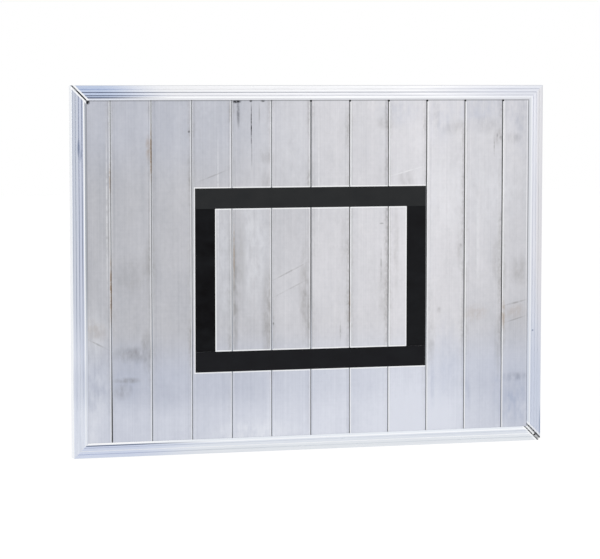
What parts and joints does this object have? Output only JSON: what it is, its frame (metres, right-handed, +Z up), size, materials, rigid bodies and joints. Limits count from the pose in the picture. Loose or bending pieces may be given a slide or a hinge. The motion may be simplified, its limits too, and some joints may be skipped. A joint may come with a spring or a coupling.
{
  "type": "basketball backboard",
  "caption": "Rectangular aluminium basketball backboard of interlocking hollow planks in a mitred edge frame, with a black target rectangle on the face and bolt-on mounting rails behind.",
  "frame": {"origin": "middle of the rear bolt pattern, on the plane of the insert flanges where the board meets its support, which is also the middle of the board in width and height", "axes": "+X to the right as a player sees the board, +Y out of the back towards the support, +Z up; the playing face looks along -Y"},
  "size_m": [1.2, 0.0604, 0.9],
  "materials": {
    "plank_aluminium": "mill-finish extrusion, satin, with faint die lines",
    "frame_aluminium": "bright mill-finish extrusion with drawn lines",
    "cleat_aluminium": "sawn extrusion",
    "rail_aluminium": "mill-finish extrusion",
    "rivet_aluminium": "plain rolled",
    "insert_steel": "zinc plated",
    "target_film": "satin black adhesive film"
  },
  "bodies": {
    "root": {"plank_01": "plank_aluminium", "plank_02": "plank_aluminium", "plank_03": "plank_aluminium", "plank_04": "plank_aluminium", "plank_05": "plank_aluminium", "plank_06": "plank_aluminium", "plank_07": "plank_aluminium", "plank_08": "plank_aluminium", "plank_09": "plank_aluminium", "plank_10": "plank_aluminium", "plank_11": "plank_aluminium", "plank_12": "plank_aluminium", "frame_top": "frame_aluminium", "frame_bottom": "frame_aluminium", "frame_left": "frame_aluminium", "frame_right": "frame_aluminium", "corner_cleat_top_left": "cleat_aluminium", "corner_cleat_top_right": "cleat_aluminium", "corner_cleat_bottom_left": "cleat_aluminium", "corner_cleat_bottom_right": "cleat_aluminium", "target_strip_top": "target_film", "target_strip_bottom": "target_film", "target_strip_left": "target_film", "target_strip_right": "target_film", "rear_rail_upper": "rail_aluminium", "rear_rail_lower": "rail_aluminium", "corner_cleat_rivets": "rivet_aluminium", "frame_rivets": "rivet_aluminium", "rear_rail_upper_rivets": "rivet_aluminium", "rear_rail_lower_rivets": "rivet_aluminium", "mounting_inserts": "insert_steel"}
  },
  "joints": []
}
